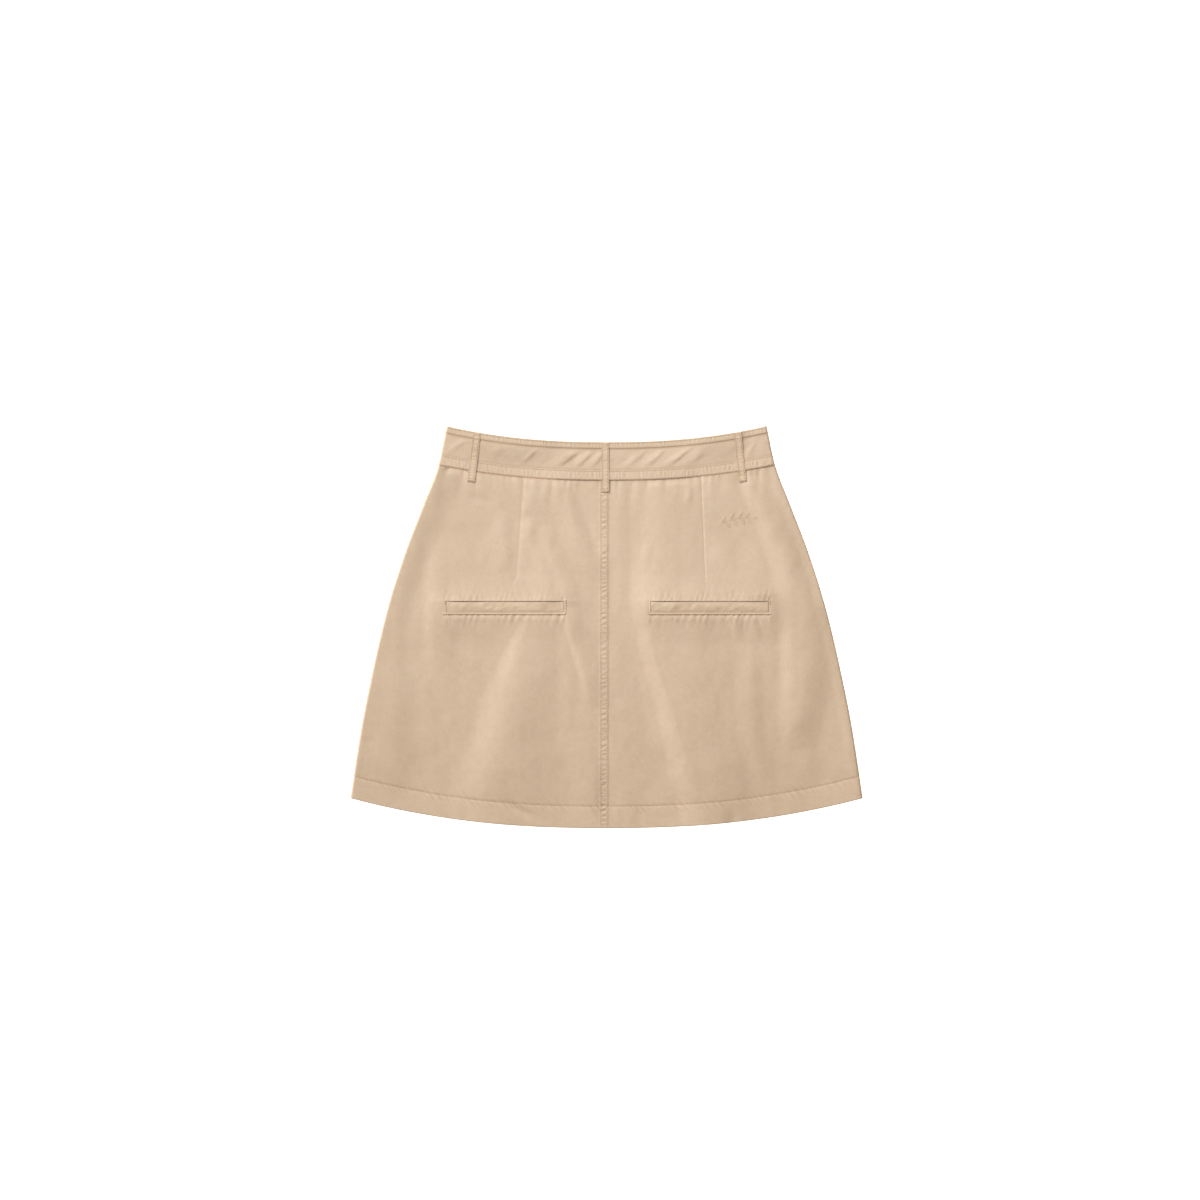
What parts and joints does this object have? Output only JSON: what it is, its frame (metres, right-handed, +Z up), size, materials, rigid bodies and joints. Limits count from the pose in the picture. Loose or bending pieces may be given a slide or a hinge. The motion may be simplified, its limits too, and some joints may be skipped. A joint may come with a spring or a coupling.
{
  "type": "utility skirt",
  "caption": "A-line utility skirt in khaki cotton twill, laid flat with its back up: waistband with belt loops, darts, welt pockets, felled centre seam and deep hem.",
  "frame": {"origin": "middle of the skirt's outline, on the surface that it lies on", "axes": "+X to the wearer's right, across the skirt; +Y from the hem to the waist; +Z up from the surface, out of the skirt's back"},
  "size_m": [0.528, 0.4144, 0.0073],
  "materials": {
    "twill": "washed cotton twill, matte",
    "waistband_twill": "washed cotton twill, matte",
    "trim_twill": "washed cotton twill, worn at the edges",
    "button": "horn-coloured, satin"
  },
  "bodies": {
    "root": {"back_left": "twill", "back_right": "twill", "front_left": "twill", "front_right": "twill", "waistband_back": "waistband_twill", "waistband_front_left": "waistband_twill", "waistband_front_right": "waistband_twill", "welt_left": "trim_twill", "welt_right": "trim_twill", "loop_left": "trim_twill", "loop_centre": "trim_twill", "loop_right": "trim_twill", "button": "button"}
  },
  "joints": []
}
